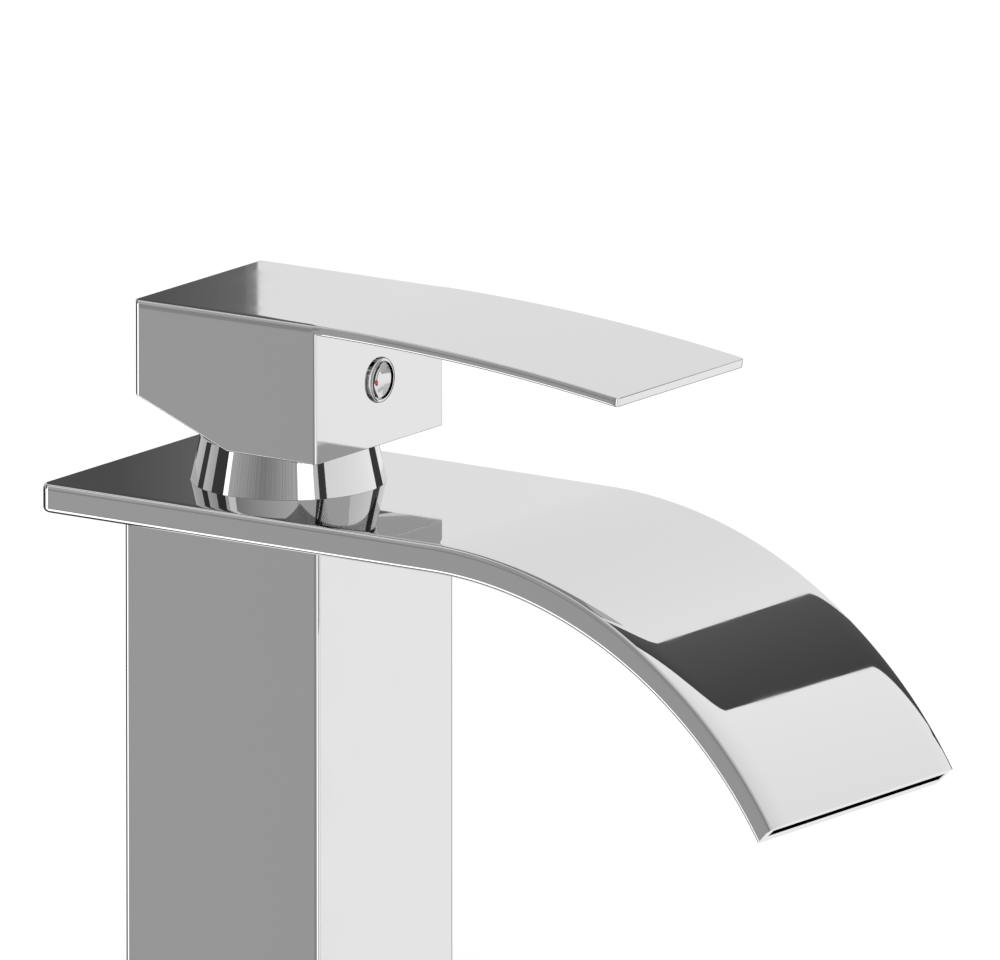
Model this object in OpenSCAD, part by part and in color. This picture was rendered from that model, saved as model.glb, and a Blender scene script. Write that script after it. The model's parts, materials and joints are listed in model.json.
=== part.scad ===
// Single-lever basin mixer tap: a square column carries a flat spout that curves down to a
// wide slot, and a square block with a flat lever turns and tilts above a tapered collar.
// Origin: centre of the column's foot on the deck. +Z is up and the spout points along -Y.
// All lengths are in millimetres.

/* [Column] */
// Side of the square column
column_w = 48.9; // [48:0.1:56]
// Height of the column from the deck to the underside of the spout
column_h = 131.8; // [100:0.1:200]
// Rounding of the column's upright edges
column_edge_r = 1; // [0.4:0.1:2]
// Depth from the top of the spout to the seat that the cartridge stands on
cartridge_sink = 22; // [20:0.5:26]
// Radial room round the cartridge in its bore
cartridge_gap = 0.1; // [0.05:0.05:0.3]

/* [Spout] */
// Width of the spout
spout_w = 65.4; // [60:0.1:80]
// Thickness of the flat part of the spout
spout_t = 6.2; // [5.5:0.1:8]
// Reach of the spout behind the column's centre
spout_rear = 39.9; // [32:0.1:50]
// Reach of the flat part in front of the column's centre
spout_flat = 57.6; // [40:0.1:80]
// Radius of the bend on its upper side
bend_r = 101; // [80:1:130]
// Angle through which the spout bends down
bend_angle = 58.4; // [30:0.1:70]
// How much closer the two sides of the bend are than the flat part is thick
bend_taper = 1.3; // [0:0.1:1.5]
// Rounding of the upright corners at the rear of the spout
spout_corner_r = 2.4; // [0.5:0.1:3]
// Wall above the water channel
roof_wall = 1.45; // [1:0.05:2]
// Wall under the water channel
floor_wall = 2; // [1:0.05:2.2]
// Wall at each side of the water channel
side_wall = 1.8; // [1.2:0.1:3]
// Wall between the nut's bore and the water channel
collar_wall = 2.95; // [2:0.05:4]

/* [Waterways] */
// Thread radius of the two hose inlets
inlet_r = 4.5; // [4:0.1:6]
// Depth of the inlet threads
inlet_depth = 14; // [10:0.5:18]
// Distance between the two inlets
inlet_pitch = 15; // [14:0.5:18]
// Radius of the supply drillings above the inlet threads
supply_r = 3.2; // [2.5:0.1:3.6]
// Distance of the cartridge's supply ports from the axis
port_ring_r = 7.4; // [7.2:0.1:7.8]
// Angle of each supply port from straight ahead
port_angle = 40; // [38:1:42]
// Radius of the supply ports
port_r = 2.2; // [1.5:0.1:2.3]
// Radius of the outlet port
outlet_r = 2.8; // [2:0.1:3]
// Distance of the outlet port behind the axis
outlet_back = 1.2; // [1:0.1:1.8]
// Radius of the two risers that feed the spout
riser_r = 3; // [2:0.1:3.4]
// Wall between a riser and the faces of the column
riser_wall = 2.4; // [2:0.1:3]
// Distance from the seat down to the outlet cross drillings
cross_drop = 8.5; // [6:0.5:12]

/* [Cartridge] */
// Outer radius of the cartridge below its shoulder
housing_r = 17.4; // [17.2:0.1:18]
// Height of the cartridge's shoulder above its seat
shoulder_h = 13; // [12:0.5:14]
// Outer radius of the cartridge's neck
housing_neck_r = 15; // [14.8:0.1:15.4]
// Radius of the chamber that the discs lie in
chamber_r = 13.8; // [13.7:0.1:14.2]
// Radius of the chamber that the sleeve turns in
sleeve_chamber_r = 12.9; // [12.8:0.1:13.2]
// Thickness of the housing's roof
roof_t = 2.5; // [2:0.1:3]
// Height of the cartridge base below the discs
base_t = 8.5; // [7:0.1:9]
// Height of the flange at the foot of the cartridge base
base_flange_t = 2.5; // [2:0.1:4]
// Radius of the cartridge base inside the housing
base_spigot_r = 14.8; // [14.6:0.1:15.2]
// Radial play between the cartridge's fixed pieces
cartridge_play = 0.05; // [0.02:0.01:0.1]
// Radius of the pegs that key the cartridge base to its neighbours
peg_r = 1.2; // [0.8:0.1:1.5]
// Length of the pegs
peg_h = 2; // [1:0.1:2.5]
// Distance of the pegs from the axis
peg_ring_r = 11.6; // [11.4:0.1:12]
// Width of rubber round each port in the port seals
port_seal_w = 1.3; // [0.8:0.1:1.35]
// Thickness of the port seals
port_seal_t = 1; // [0.6:0.1:1.5]
// Radius of the seal under the fixed disc
disc_seal_r = 10; // [9.9:0.1:10.1]
// Thickness of the seal under the fixed disc
disc_seal_t = 0.8; // [0.5:0.1:1.5]
// Radius of the fixed ceramic disc
fixed_disc_r = 13.6; // [13.5:0.05:13.65]
// Thickness of the fixed ceramic disc
fixed_disc_t = 4; // [3.5:0.1:4.5]
// Radius of the moving ceramic disc
moving_disc_r = 11.8; // [11.6:0.05:11.9]
// Thickness of the moving ceramic disc
moving_disc_t = 3.5; // [3:0.1:4]
// Radius of the mixing hollow under the moving disc
mixing_r = 4.8; // [4:0.1:4.9]
// Depth of the mixing hollow
mixing_depth = 2; // [1:0.1:2.2]
// Radius of the carrier on top of the moving disc
carrier_r = 10.9; // [10.6:0.1:11]
// Thickness of the carrier
carrier_t = 6; // [5.8:0.1:6.5]
// Width of the carrier between its two guided flats
carrier_flat_w = 18.8; // [18:0.1:19]
// Radius of the two pegs that drive the moving disc
drive_peg_r = 1; // [0.6:0.1:1.2]
// Length of the two drive pegs
drive_peg_h = 1.2; // [0.6:0.1:1.5]
// Radial room between the lever's ball and its pocket
ball_gap = 0.2; // [0.1:0.05:0.3]
// Floor of the pocket under the lever's ball
pocket_floor = 0.7; // [0.5:0.1:0.8]

/* [Sleeve and stem] */
// Radius of the turning sleeve's flange
sleeve_flange_r = 12.6; // [12.4:0.1:12.7]
// Thickness of the turning sleeve's flange
sleeve_flange_t = 1.9; // [1.5:0.1:2.5]
// Radius of the turning sleeve's neck
sleeve_neck_r = 10.4; // [10.2:0.05:10.6]
// Height of the turning sleeve's neck above its flange
sleeve_neck_h = 9.2; // [9:0.1:10]
// Radial running clearance of turning fits
running_gap = 0.05; // [0.02:0.01:0.1]
// Gap between the sleeve and the pieces above and below it
sleeve_gap = 0.3; // [0.2:0.05:0.4]
// Width of the guiding prongs, front to rear
prong_l = 10; // [6:0.5:12]
// Height of the lever's pivot above the carrier
pivot_up = 8; // [7.8:0.1:8.5]
// Radius of the pivot pin
pin_r = 1.5; // [1.2:0.1:1.8]
// Length of the pivot pin
pin_l = 19; // [16:0.5:19.5]
// Distance from the pivot down to the ball that drives the disc
arm_l = 10; // [9.8:0.1:10.2]
// Radius of the ball at the stem's lower end
ball_r = 3; // [2.6:0.1:3.1]
// Width of the stem's square upper part
stem_w = 8; // [7:0.1:8.5]
// Width of the stem's square lower arm
arm_w = 6; // [5:0.1:6.5]
// Radius of the stem's neck above the ball
ball_neck_r = 2; // [1.5:0.1:2.4]
// Height of the stem's neck above the ball's centre
ball_neck_h = 3.5; // [3.2:0.1:4]
// How far the stem stands above the grub screw's axis
stem_over = 4.2; // [3:0.1:5]
// Play between the stem and the slot or socket round it
stem_play = 0.1; // [0.05:0.05:0.2]
// Largest tilt of the lever
tilt_max = 20; // [10:1:20]
// Radius of the grub screw
grub_r = 2.5; // [2:0.1:3]
// Length of the grub screw
grub_l = 8; // [5:0.5:9]
// Width across flats of the grub screw's socket
grub_key = 2.5; // [2:0.1:3]

/* [Retaining nut and cover] */
// Thread radius of the retaining nut
nut_thread_r = 18.5; // [18.4:0.05:18.6]
// How far the nut's thread stays below the top of the spout
nut_thread_drop = 0.5; // [0.2:0.1:1.5]
// Outer radius of the nut's collar
nut_collar_r = 16.9; // [16.6:0.1:17.1]
// Height of the nut's collar above the top of the spout
nut_collar_h = 6; // [5:0.1:6.5]
// Radial room between the nut and the cartridge's neck
nut_bore_gap = 0.2; // [0.1:0.05:0.3]
// Number of key notches in the nut
nut_notches = 6; // [4:1:8]
// Width of the key notches
notch_w = 3; // [2:0.1:4]
// Depth of the key notches
notch_depth = 1.5; // [1:0.1:1.6]
// Height of the O-ring above the top of the spout
ring_up = 2.6; // [2.4:0.1:2.8]
// Radius of the O-ring's section
ring_r = 0.9; // [0.7:0.05:1]
// Room between the O-ring and the cover
ring_gap = 0.03; // [0.01:0.01:0.05]
// Radius of the tapered cover at its foot
cone_r = 20.27; // [20:0.05:21.5]
// Height of the tapered cover
cone_h = 9.6; // [9.2:0.1:10]
// Angle between the cover's side and the vertical
cone_angle = 12.6; // [10:0.1:13]
// Wall of the tapered cover
cone_wall = 1.5; // [1.2:0.1:1.6]
// Radius of the hole in the cover's top
cone_hole_r = 12.5; // [12:0.1:13]

/* [Handle] */
// Side of the handle's square block
handle_w = 45.8; // [44:0.1:48]
// Gap between the cover and the block
handle_lift = 0.4; // [0.3:0.05:0.6]
// Height of the block at its rear
block_h = 29.1; // [28:0.1:34]
// Rise of the block's top from rear to front
block_rise = 0.2; // [0:0.1:1]
// Distance in front of the axis where the block's underside starts to slope
slope_start = 0.64; // [0.2:0.01:1.5]
// Slope of the underside behind the axis
slope_angle = 21.4; // [21:0.1:24]
// Reach of the lever from the axis
lever_reach = 98.2; // [80:0.1:115]
// Thickness of the lever
lever_t = 2.1; // [1.8:0.1:3]
// Distance behind the block's front face where the lever starts to curve
lever_root = 1.25; // [1.2:0.05:4]
// Radius of the lever's curve
lever_bend_r = 542; // [400:1:900]
// Rounding of the block's upright edges
block_edge_r = 1; // [0.4:0.1:2]
// Wall round the hollow under the block
block_wall = 10; // [2:0.1:10.2]
// Reach of that hollow behind the axis
hollow_rear = 12; // [11.5:0.1:13]
// Room above the sleeve inside the hollow
hollow_clear = 5; // [4:0.1:5.2]
// Height of the index above the block's underside
index_up = 13.8; // [13:0.1:15]
// Radius of the index's hole
index_hole_r = 4.8; // [4:0.1:5.2]
// Depth of the index's hole
index_hole_depth = 4; // [3:0.1:5]
// Radial gap round the index plug
index_gap = 0.1; // [0.05:0.01:0.15]
// How far the plug's rim stands in front of the block's face
index_proud = 0.65; // [0:0.05:1]
// Width of the plug's flat rim
index_rim_w = 0.5; // [0.3:0.05:0.8]
// Depth of the plug's hollow face
dish_depth = 1.5; // [0.5:0.05:1.8]
// Gap between the plug's shank and the grub screw
shank_gap = 2.7; // [1:0.1:4]
// Radius of the coloured dot
dot_r = 0.55; // [0.4:0.05:0.8]
// Distance of the dot below the index's centre
dot_drop = 0.8; // [0.7:0.05:1]
// Length of the dot's peg
dot_l = 1; // [0.5:0.1:1.5]
// How far the dot stands proud of the dish
dot_proud = 0.35; // [0.02:0.01:0.6]

/* [Deck fixing] */
// Thickness of the deck between the column and the clamp
deck_t = 20; // [10:1:30]
// Radius of the fixing stud
stud_r = 4; // [3:0.1:5]
// Distance of the stud behind the axis
stud_back = 11; // [10.5:0.1:12]
// Depth of the stud in the column
stud_depth = 14; // [10:1:18]
// Length of the stud below the deck's underside
stud_tail = 32; // [24:1:50]
// Radial play of threads
thread_play = 0.05; // [0.02:0.01:0.1]
// Outer radius of the foot gasket
foot_ring_r = 21.2; // [20.5:0.1:22]
// Width of the foot gasket
foot_ring_w = 2.2; // [1.5:0.1:2.6]
// Depth of the foot gasket's groove
foot_ring_t = 1.5; // [1:0.1:2.5]
// Radius of the clamp
clamp_r = 24; // [22:0.5:30]
// Width of the clamp's notch for the hoses
clamp_notch_w = 31; // [30:0.5:34]
// Distance between the stud and the notch
clamp_bridge = 6.4; // [5:0.1:7]
// Thickness of the clamp's rubber gasket
clamp_gasket_t = 3; // [2:0.1:5]
// Thickness of the clamp's steel washer
clamp_washer_t = 2.5; // [1.5:0.1:4]
// Width across flats of the fixing nut
fixing_nut_af = 13; // [12:0.1:17]
// Height of the fixing nut
fixing_nut_h = 8; // [6:0.1:10]

/* [Hidden] */
// Overrun of every cut past the surface that it opens
over = 1;
// Steps along a curved outline
curve_steps = 28;
$fn = 72;

// Heights of the spout and of the cartridge's stack, from the seat up
plate_z = column_h + spout_t;
seat_z = plate_z - cartridge_sink;
discs_z = seat_z + base_t;
moving_z = discs_z + fixed_disc_t;
carrier_z = moving_z + moving_disc_t;
carrier_top_z = carrier_z + carrier_t;
sleeve_z = carrier_top_z + sleeve_gap;
sleeve_neck_z = sleeve_z + sleeve_flange_t;
sleeve_top_z = sleeve_neck_z + sleeve_neck_h;
roof_z = sleeve_neck_z + sleeve_gap;
housing_top_z = roof_z + roof_t;
shoulder_z = seat_z + shoulder_h;
pivot_z = carrier_top_z + pivot_up;

// Travel of the discs: closed behind the axis, open as far in front of it
disc_travel = arm_l * sin(tilt_max);
disc_rest = disc_travel / 2;

// Waterways
channel_half_w = spout_w / 2 - side_wall;
nut_bore_r = nut_thread_r + thread_play;
collar_r = nut_bore_r + collar_wall;
riser_xy = column_w / 2 - riser_wall - riser_r;
channel_rear = riser_xy + riser_r + riser_wall;
port_x = port_ring_r * sin(port_angle);
port_y = -port_ring_r * cos(port_angle);
cross_z = seat_z - cross_drop;
supply_top_z = cross_z - riser_r;
under_r = bend_r - (spout_t - bend_taper);
past_lip_angle = bend_angle + spout_t / bend_r * 180 / PI;

// Handle
block_z = plate_z + cone_h + handle_lift;
block_top_z = block_z + block_h;
lever_top_z = block_top_z + block_rise;
half_w = handle_w / 2;
lever_flat = half_w - lever_root;
lever_end_angle = asin((lever_reach - lever_flat) / lever_bend_r);
hollow_top_z = sleeve_top_z + hollow_clear;
index_z = block_z + index_up;
stem_top_z = index_z + stem_over;
grub_tail_y = -stem_w / 2;
grub_head_y = grub_tail_y - grub_l;
plug_r = index_hole_r - index_gap;
plug_face_y = -half_w - index_proud;
plug_back_y = -half_w + index_hole_depth;
dish_edge_r = plug_r - index_rim_w;
dish_r = (dish_edge_r * dish_edge_r + dish_depth * dish_depth) / (2 * dish_depth);

// Cover
cone_top_r = cone_r - cone_h * tan(cone_angle);
cone_inner_r = cone_r - cone_wall / cos(cone_angle);
lid_z = cone_h - cone_wall;
ring_mid_r = cone_inner_r - ring_up * tan(cone_angle) - (ring_r + ring_gap) / cos(cone_angle);

// Deck fixing
clamp_notch_y = stud_back - clamp_bridge;
washer_z = -deck_t - clamp_gasket_t;
fixing_nut_z = washer_z - clamp_washer_t;

// Flat outline with four rounded corners, centred
module rounded_rect(w, l, r) {
    square([w - 2 * r, l], center = true);
    square([w, l - 2 * r], center = true);
    for (x = [-1, 1], y = [-1, 1])
        translate([x * (w / 2 - r), y * (l / 2 - r)]) circle(r = r);
}

// Side outline, drawn in Y and Z, given a width along X
module across(w) {
    rotate([90, 0, 90]) linear_extrude(height = w, center = true) children();
}

// Upright cylinder between two heights
module post(r, z0, z1, at = [0, 0]) {
    translate([at[0], at[1], z0]) cylinder(r = r, h = z1 - z0);
}

// Upright square bar between two heights
module bar(w, l, z0, z1, at = [0, 0]) {
    translate([at[0] - w / 2, at[1] - l / 2, z0]) cube([w, l, z1 - z0]);
}

// Cylinder along Y between two places
module rod_y(r, y0, y1, z) {
    translate([0, y0, z]) rotate([-90, 0, 0]) cylinder(r = r, h = y1 - y0);
}

// Hexagonal prism between two heights, from its width across flats
module hexagon(af, z0, z1) {
    translate([0, 0, z0]) cylinder(r = af / 2 / cos(30), h = z1 - z0, $fn = 6);
}

// Points of an arc that starts level at its top and falls away towards the front
function falling_arc(r, y, top_z, a0, a1) = [
    for (i = [0 : curve_steps])
        let (a = a0 + (a1 - a0) * i / curve_steps)
        [y - r * sin(a), top_z - r + r * cos(a)]
];

// The three water ports of the cartridge, grown by a margin
module ports(z0, z1, grow = 0) {
    for (x = [-1, 1]) post(port_r + grow, z0, z1, [x * port_x, port_y]);
    post(outlet_r + grow, z0, z1, [0, outlet_back]);
}

// Two pegs that key one piece to the next, grown by a margin
module key_pegs(z0, z1, grow = 0) {
    for (x = [-1, 1]) post(peg_r + grow, z0, z1, [x * peg_ring_r, 0]);
}

// Square column with the cartridge's bore, the waterways and the foot's threads
module body_column() {
    color("#d6d9dc")
    difference() {
        linear_extrude(height = column_h) rounded_rect(column_w, column_w, column_edge_r);
        post(housing_r + cartridge_gap, seat_z, column_h + over);
        post(nut_bore_r, shoulder_z, column_h + over);
        key_pegs(seat_z - peg_h, seat_z + over, cartridge_play);
        column_waterways();
        post(stud_r + thread_play, -over, stud_depth, [0, stud_back]);
        foot_groove();
    }
}

// Supply drillings from the inlets, and the outlet's way to the risers
module column_waterways() {
    for (x = [-1, 1]) {
        post(inlet_r, -over, inlet_depth, [x * inlet_pitch / 2, port_y]);
        post(supply_r, inlet_depth - over, supply_top_z, [x * inlet_pitch / 2, port_y]);
        post(port_r, supply_top_z - supply_r, seat_z + over, [x * port_x, port_y]);
        post(riser_r, cross_z, column_h + over, [x * riser_xy, riser_xy]);
        cross_drilling(x);
    }
    post(outlet_r, cross_z - outlet_r, seat_z + over, [0, outlet_back]);
}

// Level drilling from under the outlet port to one riser
module cross_drilling(side) {
    dx = side * riser_xy;
    dy = riser_xy - outlet_back;
    translate([0, outlet_back, cross_z])
        rotate([0, 90, atan2(dy, dx)])
            cylinder(r = outlet_r, h = norm([dx, dy]) + riser_r / 2);
}

// Groove round the foot for its gasket
module foot_groove() {
    difference() {
        post(foot_ring_r, -over, foot_ring_t);
        post(foot_ring_r - foot_ring_w, -over, foot_ring_t + over);
    }
}

// Side outline of the spout, from the plate's top downwards
module spout_outline() {
    polygon(concat(
        falling_arc(bend_r, -spout_flat, plate_z, 0, bend_angle),
        falling_arc(under_r, -spout_flat, plate_z - spout_t, bend_angle, 0),
        [[spout_rear, plate_z - spout_t], [spout_rear, plate_z]]
    ));
}

// Side outline of the water channel, which runs out through the lip
module channel_outline() {
    roof = plate_z - roof_wall;
    floor_top = plate_z - spout_t + floor_wall;
    polygon(concat(
        falling_arc(bend_r - roof_wall, -spout_flat, roof, 0, past_lip_angle),
        falling_arc(under_r + floor_wall, -spout_flat, floor_top, past_lip_angle, 0),
        [[channel_rear, floor_top], [channel_rear, roof]]
    ));
}

// Spout with rounded rear corners, a wide channel and a collar round the nut's bore
module spout_shell() {
    front = spout_flat + bend_r;
    color("#d6d9dc")
    difference() {
        intersection() {
            across(spout_w) spout_outline();
            translate([0, (spout_rear - front) / 2, 0])
                linear_extrude(height = plate_z + over)
                    rounded_rect(spout_w, spout_rear + front, spout_corner_r);
        }
        difference() {
            across(2 * channel_half_w) channel_outline();
            post(collar_r, column_h, plate_z);
        }
        post(nut_bore_r, column_h - over, plate_z + over);
        for (x = [-1, 1])
            post(riser_r, column_h - over, column_h + floor_wall + roof_wall / 2,
                [x * riser_xy, riser_xy]);
    }
}

// Tapered cover with a lid that leaves room for the turning sleeve
module cone_cover() {
    color("#d6d9dc")
    translate([0, 0, plate_z]) rotate_extrude() polygon([
        [cone_inner_r, 0],
        [cone_r, 0],
        [cone_top_r, cone_h],
        [cone_hole_r, cone_h],
        [cone_hole_r, lid_z],
        [cone_inner_r - lid_z * tan(cone_angle), lid_z]
    ]);
}

// Rubber ring that holds the tapered cover on the nut
module cover_o_ring() {
    color("#26282a")
    translate([0, 0, plate_z + ring_up])
        rotate_extrude() translate([ring_mid_r, 0]) circle(r = ring_r);
}

// Threaded ring that holds the cartridge down
module retaining_nut() {
    top = plate_z + nut_collar_h;
    bore_r = housing_neck_r + nut_bore_gap;
    color("#c9a55c")
    difference() {
        union() {
            post(nut_thread_r, shoulder_z, plate_z - nut_thread_drop);
            post(nut_collar_r, shoulder_z, top);
        }
        post(bore_r, shoulder_z - over, top + over);
        difference() {
            post(nut_thread_r, plate_z + ring_up - ring_r, plate_z + ring_up + ring_r);
            post(ring_mid_r - ring_r, plate_z, top);
        }
        for (i = [0 : nut_notches - 1])
            rotate([0, 0, 360 * i / nut_notches])
                translate([0, -notch_w / 2, top - notch_depth])
                    cube([nut_thread_r, notch_w, notch_depth + over]);
    }
}

// Moulded body of the cartridge
module cartridge_housing() {
    foot = seat_z + base_flange_t;
    color("#e9e6dc")
    difference() {
        union() {
            post(housing_r, foot, shoulder_z);
            post(housing_neck_r, foot, housing_top_z);
        }
        post(base_spigot_r + cartridge_play, foot - over, discs_z);
        post(chamber_r, discs_z - over, carrier_z + sleeve_gap);
        post(sleeve_chamber_r, carrier_z, roof_z);
        post(sleeve_neck_r + running_gap, roof_z - over, housing_top_z + over);
    }
}

// Foot of the cartridge with its three ports, seal pockets and pegs
module cartridge_base() {
    color("#3f6f9e")
    difference() {
        union() {
            post(housing_r, seat_z, seat_z + base_flange_t);
            post(base_spigot_r, seat_z, discs_z);
            key_pegs(seat_z - peg_h + cartridge_play, discs_z + peg_h);
        }
        ports(seat_z - over, discs_z + over);
        ports(seat_z - over, seat_z + port_seal_t, port_seal_w);
        post(disc_seal_r, discs_z - disc_seal_t, discs_z + over);
    }
}

// Rubber rings round the three ports on the seat
module port_seals() {
    color("#26282a")
    difference() {
        ports(seat_z, seat_z + port_seal_t, port_seal_w);
        ports(seat_z - over, seat_z + port_seal_t + over);
    }
}

// Rubber seal between the cartridge's foot and the fixed disc
module disc_seal() {
    color("#26282a")
    difference() {
        post(disc_seal_r, discs_z - disc_seal_t, discs_z);
        ports(discs_z - disc_seal_t - over, discs_z + over);
    }
}

// Ceramic disc that stays still
module fixed_disc() {
    color("#f3f1ea")
    difference() {
        post(fixed_disc_r, discs_z, moving_z);
        ports(discs_z - over, moving_z + over);
        key_pegs(discs_z - over, discs_z + peg_h + cartridge_play, cartridge_play);
    }
}

// Ceramic disc that slides and turns over the ports, shown closed
module moving_disc() {
    color("#f3f1ea")
    difference() {
        post(moving_disc_r, moving_z, carrier_z, [0, disc_rest]);
        post(mixing_r, moving_z - over, moving_z + mixing_depth);
        post(outlet_r, moving_z - over, moving_z + mixing_depth, [0, mixing_r]);
        drive_pegs(thread_play);
    }
}

// Two pegs between the carrier and the moving disc
module drive_pegs(grow = 0) {
    for (y = [-1, 1])
        post(drive_peg_r + grow, carrier_z - drive_peg_h - grow, carrier_z + over,
            [0, disc_rest + y * (carrier_r - 2 * drive_peg_r)]);
}

// Slider between the lever's ball and the moving disc
module disc_carrier() {
    color("#e9e6dc")
    difference() {
        union() {
            intersection() {
                post(carrier_r, carrier_z, carrier_top_z, [0, disc_rest]);
                bar(carrier_flat_w, 3 * carrier_r, carrier_z, carrier_top_z);
            }
            drive_pegs();
        }
        post(ball_r + ball_gap, carrier_z + pocket_floor, carrier_top_z + over);
    }
}

// Turning sleeve that holds the pivot pin and guides the carrier
module stem_sleeve() {
    prong_gap = carrier_flat_w / 2 + stem_play;
    lower_reach = arm_w / 2 / cos(tilt_max) + (pivot_z - sleeve_z) * tan(tilt_max) + stem_play;
    upper_reach = stem_w / 2 / cos(tilt_max) + (sleeve_top_z - pivot_z) * tan(tilt_max) + stem_play;
    color("#3f6f9e")
    difference() {
        union() {
            post(sleeve_flange_r, sleeve_z, sleeve_neck_z);
            post(sleeve_neck_r, sleeve_z, sleeve_top_z);
            intersection() {
                post(sleeve_flange_r, carrier_z + sleeve_gap, sleeve_neck_z);
                bar(2 * sleeve_flange_r, prong_l, carrier_z, sleeve_neck_z);
            }
        }
        bar(2 * prong_gap, 2 * prong_l, carrier_z, sleeve_z);
        translate([-stem_w / 2 - stem_play, -lower_reach, sleeve_z - over])
            cube([stem_w + 2 * stem_play, lower_reach + upper_reach, sleeve_top_z - sleeve_z + 2 * over]);
        pin(pin_r, pin_l);
    }
}

// Cylinder on the lever's pivot axis
module pin(r, l) {
    translate([0, 0, pivot_z]) rotate([0, 90, 0]) cylinder(r = r, h = l, center = true);
}

// Steel pin that the lever tilts on
module pivot_pin() {
    color("#b9bdc0") pin(pin_r, pin_l);
}

// Stem from the handle's socket down to the ball in the carrier
module lever_stem() {
    ball_z = pivot_z - arm_l;
    arm_z = ball_z + ball_neck_h;
    hub_z = pivot_z - stem_w / 2;
    color("#b9bdc0")
    difference() {
        union() {
            bar(stem_w, stem_w, hub_z, stem_top_z);
            bar(arm_w, arm_w, arm_z, hub_z + over);
            post(ball_neck_r, ball_z, arm_z + over);
            translate([0, 0, ball_z]) sphere(r = ball_r);
        }
        pin(pin_r + running_gap, stem_w + 2 * over);
    }
}

// Side outline of the block: the underside slopes up behind the axis
module block_outline() {
    rise = (half_w + slope_start) * tan(slope_angle);
    polygon([
        [-half_w, block_z],
        [-slope_start, block_z],
        [half_w, block_z + rise],
        [half_w, block_top_z],
        [-lever_flat, lever_top_z],
        [-half_w, lever_top_z]
    ]);
}

// Side outline of the lever: a flat root inside the block, then a long shallow curve
module lever_outline() {
    polygon(concat(
        falling_arc(lever_bend_r, -lever_flat, lever_top_z, 0, lever_end_angle),
        falling_arc(lever_bend_r - lever_t, -lever_flat, lever_top_z - lever_t, lever_end_angle, 0)
    ));
}

// Block and lever in one piece, with the stem's socket and the index's hole
module handle() {
    plate_l = lever_reach - lever_flat + block_edge_r;
    socket_w = stem_w + 2 * stem_play;
    color("#d6d9dc")
    difference() {
        union() {
            intersection() {
                across(handle_w) block_outline();
                linear_extrude(height = lever_top_z + over)
                    rounded_rect(handle_w, handle_w, block_edge_r);
            }
            intersection() {
                across(handle_w) lever_outline();
                translate([0, -lever_flat - plate_l / 2 + block_edge_r, 0])
                    linear_extrude(height = lever_top_z + over)
                        rounded_rect(handle_w, plate_l, block_edge_r);
            }
        }
        translate([-half_w + block_wall, -half_w + block_wall, block_z - over])
            cube([handle_w - 2 * block_wall, half_w - block_wall + hollow_rear,
                hollow_top_z - block_z + over]);
        bar(socket_w, socket_w, hollow_top_z - over, stem_top_z + over);
        rod_y(index_hole_r, -half_w - over, plug_back_y, index_z);
        rod_y(grub_r + thread_play, -half_w, 0, index_z);
    }
}

// Screw that clamps the handle to the stem
module grub_screw() {
    color("#55585b")
    difference() {
        rod_y(grub_r, grub_head_y, grub_tail_y, index_z);
        translate([0, grub_head_y, index_z]) rotate([90, 0, 0])
            hexagon(grub_key, -grub_l / 2, over);
    }
}

// Polished plug with a hollow face that closes the grub screw's hole
module index_plug() {
    color("#d6d9dc")
    difference() {
        union() {
            rod_y(plug_r, plug_face_y, plug_back_y, index_z);
            rod_y(grub_r, plug_face_y, grub_head_y - shank_gap, index_z);
        }
        translate([0, plug_face_y + dish_depth - dish_r, index_z]) sphere(r = dish_r);
        dot(thread_play, -over);
    }
}

// Peg of the coloured dot, grown by a margin and lengthened to the front
module dot(grow, front) {
    y0 = plug_face_y + dish_depth - dot_proud;
    translate([0, y0 + front, index_z - dot_drop])
        rotate([-90, 0, 0]) cylinder(r = dot_r + grow, h = dot_l - front);
}

// Red dot of the hot side
module index_mark() {
    color("#c2202a") dot(0, 0);
}

// Rubber ring in the foot's groove
module base_gasket() {
    color("#26282a")
    difference() {
        post(foot_ring_r, 0, foot_ring_t);
        post(foot_ring_r - foot_ring_w, -over, foot_ring_t + over);
    }
}

// Threaded stud that hangs from the column through the deck
module fixing_stud() {
    color("#c9a55c") post(stud_r, -deck_t - stud_tail, stud_depth, [0, stud_back]);
}

// Horseshoe that passes the stud and leaves the hoses free
module horseshoe(z0, z1) {
    difference() {
        post(clamp_r, z0, z1);
        translate([-clamp_notch_w / 2, clamp_notch_y - 2 * clamp_r, z0 - over])
            cube([clamp_notch_w, 2 * clamp_r, z1 - z0 + 2 * over]);
        post(stud_r + 2 * stem_play, z0 - over, z1 + over, [0, stud_back]);
    }
}

// Rubber gasket under the deck
module clamp_gasket() {
    color("#26282a") horseshoe(washer_z, -deck_t);
}

// Steel washer under the gasket
module clamp_washer() {
    color("#b9bdc0") horseshoe(fixing_nut_z, washer_z);
}

// Hexagon nut on the stud
module fixing_nut() {
    color("#c9a55c")
    translate([0, stud_back, 0])
        difference() {
            hexagon(fixing_nut_af, fixing_nut_z - fixing_nut_h, fixing_nut_z);
            post(stud_r + thread_play, fixing_nut_z - fixing_nut_h - over, fixing_nut_z + over);
        }
}

body_column();
spout_shell();
cone_cover();
cover_o_ring();
retaining_nut();
cartridge_housing();
cartridge_base();
port_seals();
disc_seal();
fixed_disc();
moving_disc();
disc_carrier();
stem_sleeve();
pivot_pin();
lever_stem();
handle();
grub_screw();
index_plug();
index_mark();
base_gasket();
fixing_stud();
clamp_gasket();
clamp_washer();
fixing_nut();
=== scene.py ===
import json
import math

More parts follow.
